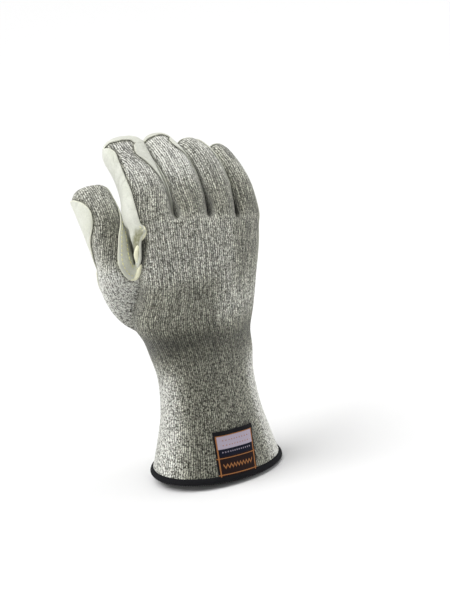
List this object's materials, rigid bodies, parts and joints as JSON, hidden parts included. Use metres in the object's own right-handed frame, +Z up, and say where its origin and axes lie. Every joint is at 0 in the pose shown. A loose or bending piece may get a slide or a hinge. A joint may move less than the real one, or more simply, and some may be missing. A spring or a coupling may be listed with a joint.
{
  "type": "work glove",
  "caption": "Right-hand work glove in worn shape: seamless knitted liner with a long cuff, leather facing on palm, fingers and thumb, bound hem and a woven label. Protects the hand.",
  "frame": {"origin": "middle of the cuff's mouth, where the wrist goes in", "axes": "+Z up along the forearm to the fingertips, -Y the back of the hand, +Y the palm, -X the thumb, +X the little finger"},
  "size_m": [0.1213, 0.0864, 0.235],
  "materials": {
    "knit": "matt salt-and-pepper grey knit",
    "leather": "matt cream split leather",
    "thumb_leather": "matt cream split leather",
    "hem": "matt black overlocked yarn",
    "label": "woven satin tape in lavender grey, copper and near black"
  },
  "bodies": {
    "root": {"knit_liner": "knit", "leather_palm": "leather", "leather_thumb": "thumb_leather", "hem_binding": "hem", "cuff_label": "label"}
  },
  "joints": []
}
